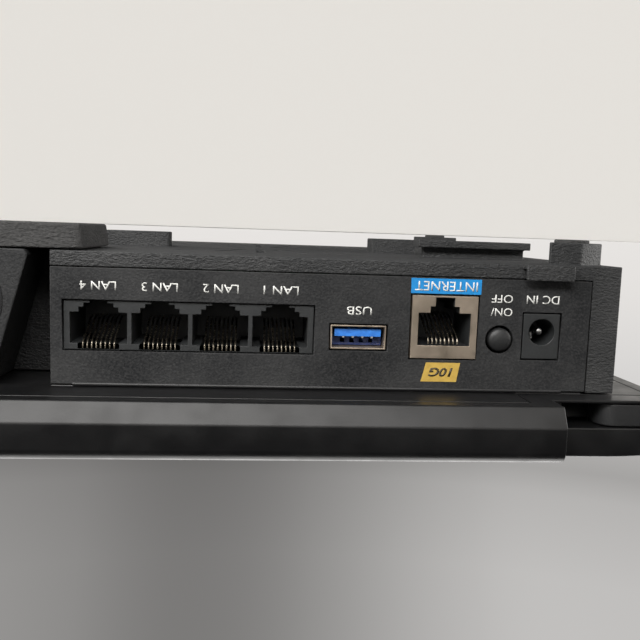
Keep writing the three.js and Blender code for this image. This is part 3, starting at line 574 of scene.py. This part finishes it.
plate("socket_panel", outline_of("io_panel"), panel_holes(), PANEL_LOW[1], FACE_Y, PLATE_EDGE, CASE,
      ["io_panel"])
plate("grille_panel", outline_of("vent_panel"), grille_holes(), PANEL_LOW[1], FACE_Y, PLATE_EDGE, CASE,
      ["vent_panel"])
plate("lan_face", lan_face_outline(), [], NOSE_Y - LAN_FACE_THICKNESS, NOSE_Y + LAN_FACE_PROUD, FINE_EDGE,
      SOCKET)


# ---------------------------------------------------------------- what shows inside the sockets
def offsets(count, pitch):
    """Places of that many things in a row, from the row's middle."""
    return [(i - (count - 1) / 2) * pitch for i in range(count)]


def socket_contacts(name, node, mouth_y, level_z):
    """Eight sprung wires that bend down from the slot at a socket's mouth and lean back into it."""
    middle = middle_of(node)[0]
    paths = []
    for offset in offsets(CONTACT_COUNT, CONTACT_PITCH):
        paths.append([(middle + offset, mouth_y + y * MM, level_z + z * MM) for y, z in CONTACT_PATH])
    piece_of(name, wire_mesh(paths, CONTACT_RADIUS), GOLD, [node])


def usb_lining():
    """The moulded carrier over the tongue, with its contact slots, and the tongue's four pads."""
    x, _, z = middle_of("usb_shell")
    places = [x + offset for offset in offsets(USB_CONTACTS, USB_PITCH)]
    slots = [rectangle(at - CARRIER_SLOT_HALF, at + CARRIER_SLOT_HALF, z + CARRIER_SLOT_LOW,
                       z + CARRIER_SLOT_HIGH) for at in places]
    carrier = rectangle(x - CARRIER_HALF, x + CARRIER_HALF, z + CARRIER_LOW, z + CARRIER_HIGH)
    front = FACE_Y - CARRIER_DEPTH
    plate("usb_carrier", carrier, slots, front - CARRIER_THICKNESS, front, FINE_EDGE, USB_DEEP)
    pads = [[(at, FACE_Y - depth, z + rise) for depth, rise in PAD_ENDS] for at in places]
    piece_of("usb_pads", wire_mesh(pads, PAD_RADIUS), BRIGHT)


def jack_spring():
    """The jack's sprung side contact, a bent strip that shows inside the bore."""
    x, _, z = middle_of("dc_pin")
    paths = []
    for i in range(SPRING_STRANDS):
        rise = z + (i + 1) * SPRING_RISE
        lean = i * SPRING_LEAN
        paths.append([(x + across * MM + lean, FACE_Y - depth * MM, rise) for across, depth in SPRING_PATH])
    piece_of("jack_spring", wire_mesh(paths, SPRING_RADIUS), BRIGHT)


def panel_bead():
    """The rounded bead under the lid along the socket panel's upper edge."""
    y = FACE_Y - BEAD_DEPTH
    z = PANEL_HIGH[2] + BEAD_RISE
    path = [(PANEL_LOW[0] + BEAD_START, y, z), (PANEL_HIGH[0] - BEAD_END, y, z)]
    piece_of("panel_bead", wire_mesh([path], BEAD_RADIUS), BLACK)


for number in LAN_NUMBERS:
    socket_contacts(f"lan_wires_{number}", f"lan_contacts_{number}", NOSE_Y, LAN_LOW + LAN_CONTACT_RISE)
wan_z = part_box("wan_shell")[0][2]
socket_contacts("wan_wires", "wan_contacts", FACE_Y - WAN_MOUTH, wan_z + WAN_CONTACT_RISE)
usb_lining()
jack_spring()
panel_bead()


# ---------------------------------------------------------------- printed legends
def legend(name, words, centre, size, material, slant=0.0, bold=0.004):
    """Raised ink lettering facing +Y, upright when the router stands on its feet."""
    curve = bpy.data.curves.new(name, "FONT")
    curve.body = words
    curve.align_x = "CENTER"
    curve.align_y = "CENTER"
    curve.size = 1.0
    curve.shear = slant
    curve.offset = bold
    curve.resolution_u = 4
    mesh = mesh_of(curve)
    xs = [v.co.x for v in mesh.vertices]
    ys = [v.co.y for v in mesh.vertices]
    width, height = size
    scale_x = width / (max(xs) - min(xs))
    scale_z = height / (max(ys) - min(ys))
    middle = Vector(((max(xs) + min(xs)) / 2, (max(ys) + min(ys)) / 2, 0))
    x, y, z = centre
    bm = bmesh.new()
    bm.from_mesh(mesh)
    bmesh.ops.translate(bm, verts=bm.verts, vec=-middle)
    bmesh.ops.remove_doubles(bm, verts=bm.verts, dist=LETTER_WELD)
    turn = Matrix(((-scale_x, 0, 0, x), (0, 0, 1, y), (0, scale_z, 0, z), (0, 0, 0, 1)))
    bmesh.ops.transform(bm, matrix=turn, verts=bm.verts)
    grown = bmesh.ops.extrude_face_region(bm, geom=list(bm.faces))
    raised = [v for v in grown["geom"] if isinstance(v, bmesh.types.BMVert)]
    bmesh.ops.translate(bm, verts=raised, vec=(0, INK_THICKNESS, 0))
    bmesh.ops.recalc_face_normals(bm, faces=bm.faces)
    bm.to_mesh(mesh)
    bm.free()
    piece_of(name, mesh, material)


def on_label(node):
    """The middle of a label's outer face."""
    x, _, z = middle_of(node)
    return x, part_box(node)[1][1], z


for number in LAN_NUMBERS:
    lan_x = middle_of(f"lan_contacts_{number}")[0]
    legend(f"legend_lan_{number}", f"LAN {number}", (lan_x, FACE_Y, PANEL_Z + LAN_LEGEND_RISE),
           LAN_LEGEND_SIZE, INK)
for name, (words, node_name, shift, rise, width, height) in LEGENDS.items():
    legend_x = middle_of(node_name)[0] + shift * MM
    legend(name, words, (legend_x, FACE_Y, PANEL_Z + rise * MM), (width * MM, height * MM), INK)
legend("legend_internet", "INTERNET", on_label("label_internet"), INTERNET_LEGEND_SIZE, INK)
legend("legend_speed", "10G", on_label("label_speed"), SPEED_LEGEND_SIZE, DARK_INK, slant=0.25, bold=0.03)


# ---------------------------------------------------------------- stage and lights
FLOOR_SIZE = 12
LAMP_COLOUR = (1, 0.985, 0.965)
SUN_POWER = 2.7
SUN_SPREAD = math.radians(70)
SUN_TILT = math.radians(24)


def pale_floor():
    """A plain floor level with the feet.

    It casts no shadow, so the lights below it reach under the lid, as they do on a light table.
    """
    g = Graph("pale_floor")
    tone = g.mixed(g.noise(3, detail=2), linear(232, 230, 226), linear(226, 224, 220))
    g.shade(Base_Color=tone, Roughness=0.85, Specular_IOR_Level=0.2)
    bm = bmesh.new()
    bmesh.ops.create_grid(bm, x_segments=8, y_segments=8, size=FLOOR_SIZE / 2)
    mesh = bpy.data.meshes.new("floor")
    bm.to_mesh(mesh)
    bm.free()
    dress(mesh, g.material)
    floor = bpy.data.objects.new("floor", mesh)
    bpy.context.collection.objects.link(floor)
    floor.visible_shadow = False


def area_light(name, place, target, size, power):
    data = bpy.data.lights.new(name, "AREA")
    data.shape = "RECTANGLE"
    data.size, data.size_y = size
    data.energy = power
    data.color = LAMP_COLOUR
    lamp = bpy.data.objects.new(name, data)
    lamp.location = place
    aim = Vector(target) - Vector(place)
    lamp.rotation_euler = aim.to_track_quat("-Z", "Y").to_euler()
    bpy.context.collection.objects.link(lamp)


def overhead_light():
    """Soft even light from above, a little from the router's front."""
    data = bpy.data.lights.new("top_soft", "SUN")
    data.energy = SUN_POWER
    data.angle = SUN_SPREAD
    data.color = LAMP_COLOUR
    sun = bpy.data.objects.new("top_soft", data)
    sun.rotation_euler = (SUN_TILT, 0, 0)
    bpy.context.collection.objects.link(sun)


pale_floor()
area_light("under_rear", place=(-0.09, 0.30, -0.21), target=(-0.02, 0.09, 0.035), size=(0.5, 0.08), power=3.1)
area_light("under_right", place=(0.45, 0.05, -0.07), target=(0.03, 0.07, 0.003), size=(0.15, 0.15), power=0.9)
area_light("under_left", place=(-0.25, -0.15, -0.30), target=(0.0, 0.0, 0.0), size=(0.4, 0.4), power=1.8)
overhead_light()


# ---------------------------------------------------------------- room light
# Each sky is a list of stops from the horizon up, and HIGH_SKY_ACROSS runs from side to side. The limits
# are parts of a unit direction: its X, its Y and its Z.
FRONT_SKY = [(0.0, grey(231, 3)), (0.06, grey(228, 3)), (0.15, grey(216, 2)), (0.3, grey(190, 2))]
# Painted shadow: HIGH_SKY darkens at its low end and HIGH_SKY_ACROSS dips a little left of the middle, a soft
# dark patch standing in for a cast shadow
HIGH_SKY = [(0.28, grey(168, 1)), (0.31, grey(184, 1)), (0.40, grey(196, 1)), (0.6, grey(200, 1))]
HIGH_SKY_ACROSS = [(0.0, grey(206, 1)), (0.25, grey(182, 1)), (0.40, grey(150, 1)), (0.6, grey(176, 1)),
                   (0.85, grey(250, 1))]
BACK_SKY = [(0.0, grey(104, 1)), (0.2, grey(48, 1)), (0.5, grey(30, 1)), (0.9, grey(50, 1))]
ACROSS_LIMITS = (-0.4, 0.4)
BACK_LIMITS = (-0.3, 0.3)
CLIMB_LIMITS = (0.17, 0.28)


def studio_world():
    """Soft room light: pale at the horizon towards -Y, where the camera looks, and dimmer elsewhere, with a
    painted shadow: a soft dark patch a little above the horizon towards -Y.
    """
    world = bpy.data.worlds.new("studio")
    bpy.context.scene.world = world
    world.use_nodes = True
    tree = world.node_tree

    def add(kind, **settings):
        node = tree.nodes.new("ShaderNode" + kind)
        for key, value in settings.items():
            setattr(node, key, value)
        return node

    def ramp(value, stops, smooth="LINEAR"):
        node = add("ValToRGB")
        tree.links.new(value, node.inputs[0])
        node.color_ramp.interpolation = smooth
        elements = node.color_ramp.elements
        while len(elements) < len(stops):
            elements.new(0.5)
        for element, (position, colour) in zip(elements, stops):
            element.position = position
            element.color = colour
        return node.outputs[0]

    def share(value, limits):
        """0 to 1, as the value goes from one limit to the other."""
        node = add("MapRange")
        tree.links.new(value, node.inputs["Value"])
        node.inputs["From Min"].default_value, node.inputs["From Max"].default_value = limits
        return node.outputs[0]

    def mixed(factor, a, b, **settings):
        node = add("Mix", data_type="RGBA", **settings)
        if isinstance(factor, float):
            node.inputs["Factor"].default_value = factor
        else:
            tree.links.new(factor, node.inputs["Factor"])
        tree.links.new(a, node.inputs["A"])
        tree.links.new(b, node.inputs["B"])
        return node.outputs["Result"]

    direction = add("SeparateXYZ")
    tree.links.new(add("TexCoord").outputs["Generated"], direction.inputs[0])
    x, y, z = direction.outputs
    # Painted shadow: the high sky's dark patch is made here, from its climb and its place across
    across = ramp(share(x, ACROSS_LIMITS), HIGH_SKY_ACROSS, "B_SPLINE")
    high = mixed(1.0, ramp(z, HIGH_SKY), across, blend_type="MULTIPLY")
    front = mixed(share(z, CLIMB_LIMITS), ramp(z, FRONT_SKY), high)
    sky = mixed(share(y, BACK_LIMITS), front, ramp(z, BACK_SKY))
    tree.links.new(sky, tree.nodes["Background"].inputs["Color"])


studio_world()
bpy.context.scene.view_settings.view_transform = "Standard"

# ---------------------------------------------------------------- camera
# It is rolled right over, so that the router is seen with its feet up. RIGHT and DOWN are the picture's.
CAMERA_AT = Vector((67.77, 259.1, 0.12)) * MM
CAMERA_RIGHT = Vector((0.99568, 0.08646, -0.03386))
CAMERA_DOWN = Vector((0.02359, 0.11718, 0.99283))
CAMERA_LENS = 43.0
CAMERA_SENSOR = 36.0
CAMERA_CLIP = 0.1 * MM


def add_camera():
    data = bpy.data.cameras.new("camera")
    data.lens = CAMERA_LENS
    data.sensor_width = CAMERA_SENSOR
    data.clip_start = CAMERA_CLIP
    camera = bpy.data.objects.new("camera", data)
    backward = CAMERA_RIGHT.cross(-CAMERA_DOWN).normalized()
    axes = Matrix((CAMERA_RIGHT, -CAMERA_DOWN, backward)).transposed()
    camera.matrix_world = Matrix.Translation(CAMERA_AT) @ axes.to_4x4()
    bpy.context.collection.objects.link(camera)
    bpy.context.scene.camera = camera


add_camera()
